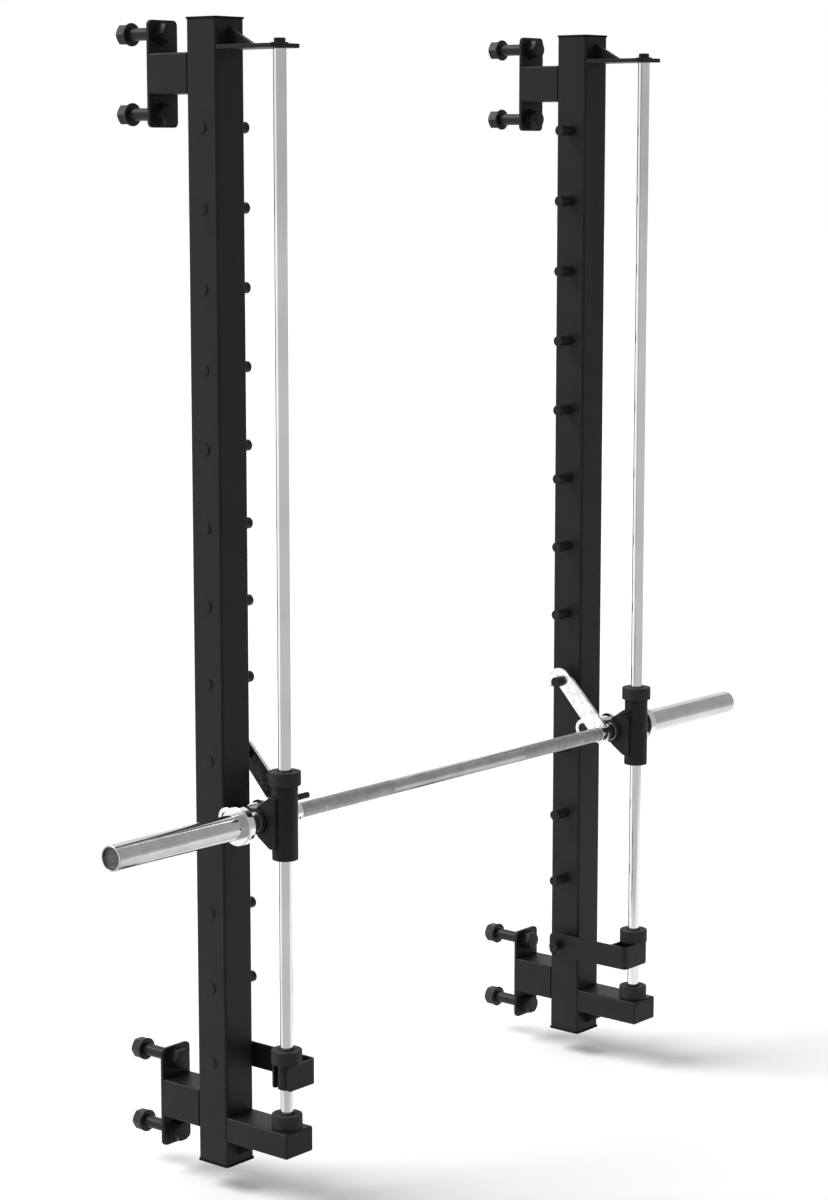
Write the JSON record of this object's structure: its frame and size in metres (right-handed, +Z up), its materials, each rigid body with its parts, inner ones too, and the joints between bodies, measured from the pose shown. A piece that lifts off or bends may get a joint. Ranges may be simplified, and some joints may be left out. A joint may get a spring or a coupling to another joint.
{
  "type": "smith machine",
  "caption": "Rack-mounted smith machine: two pegged uprights with guide rods, a sliding bar with turn-off hooks, plate sleeves and height-set safety stops.",
  "frame": {"origin": "on the mirror plane between the two units, midway between the front and back of the whole object, at the height of the uprights' lower ends", "axes": "+X along the bar to the right-hand unit, +Y from the user's side to the rack, +Z up"},
  "size_m": [1.962, 0.442, 2.207],
  "materials": {
    "black_coat": "satin black powder coat",
    "black_cap": "matte",
    "rubber": "matte",
    "chrome": "polished",
    "black_bolt": "black oxide, satin",
    "hook_steel": "bright zinc plate",
    "bar_steel": "knurled steel",
    "bearing_steel": "ground steel",
    "bronze": "sintered bronze"
  },
  "bodies": {
    "root": {"left_upright": "black_coat", "left_top_cap": "black_cap", "left_bottom_cap": "black_cap", "left_rod_top_plate": "black_coat", "left_guide_rod": "chrome", "left_rod_top_bolt": "black_bolt", "left_foot_arm": "black_coat", "left_foot_collar": "rubber", "left_bottom_bracket": "black_coat", "left_bottom_lower_bolt": "black_bolt", "left_bottom_lower_nut": "black_bolt", "left_bottom_upper_bolt": "black_bolt", "left_bottom_upper_nut": "black_bolt", "left_top_bracket": "black_coat", "left_top_lower_bolt": "black_bolt", "left_top_lower_nut": "black_bolt", "left_top_upper_bolt": "black_bolt", "left_top_upper_nut": "black_bolt", "right_upright": "black_coat", "right_top_cap": "black_cap", "right_bottom_cap": "black_cap", "right_rod_top_plate": "black_coat", "right_guide_rod": "chrome", "right_rod_top_bolt": "black_bolt", "right_foot_arm": "black_coat", "right_foot_collar": "rubber", "right_bottom_bracket": "black_coat", "right_bottom_lower_bolt": "black_bolt", "right_bottom_lower_nut": "black_bolt", "right_bottom_upper_bolt": "black_bolt", "right_bottom_upper_nut": "black_bolt", "right_top_bracket": "black_coat", "right_top_lower_bolt": "black_bolt", "right_top_lower_nut": "black_bolt", "right_top_upper_bolt": "black_bolt", "right_top_upper_nut": "black_bolt"},
    "carriage": {"left_carriage_frame": "black_coat", "left_carriage_collar": "rubber", "left_linear_bush": "bronze", "left_bar_bearing": "bearing_steel", "left_roller_axle": "black_bolt", "right_carriage_frame": "black_coat", "right_carriage_collar": "rubber", "right_linear_bush": "bronze", "right_bar_bearing": "bearing_steel", "right_roller_axle": "black_bolt"},
    "bar": {"bar_shaft": "bar_steel", "left_hook": "hook_steel", "left_sleeve": "chrome", "right_hook": "hook_steel", "right_sleeve": "chrome"},
    "left_guide_rollers": {"left_inner_guide_roller": "chrome", "left_outer_guide_roller": "chrome"},
    "left_safety_stop": {"left_stop_bracket": "black_coat", "left_stop_collar": "rubber"},
    "right_guide_rollers": {"right_inner_guide_roller": "chrome", "right_outer_guide_roller": "chrome"},
    "right_safety_stop": {"right_stop_bracket": "black_coat", "right_stop_collar": "rubber"}
  },
  "joints": [
    {"name": "carriage_slide", "type": "slide", "parent": "root", "child": "carriage", "axis": [0, 0, 1], "range_m": [0, 1.2]},
    {"name": "bar_turn", "type": "hinge", "parent": "carriage", "child": "bar", "pos_m": [0, -0.143, 0.704], "axis": [1, 0, 0], "range_deg": [0, 68]},
    {"name": "left_roller_spin", "type": "hinge", "parent": "carriage", "child": "left_guide_rollers", "pos_m": [-0.567, -0.08, 0.704], "axis": [1, 0, 0], "continuous": true},
    {"name": "right_roller_spin", "type": "hinge", "parent": "carriage", "child": "right_guide_rollers", "pos_m": [0.567, -0.08, 0.704], "axis": [1, 0, 0], "continuous": true},
    {"name": "left_stop_lift", "type": "slide", "parent": "root", "child": "left_safety_stop", "axis": [0, 0, 1], "range_m": [0, 0.1]},
    {"name": "right_stop_lift", "type": "slide", "parent": "root", "child": "right_safety_stop", "axis": [0, 0, 1], "range_m": [0, 0.1]}
  ]
}
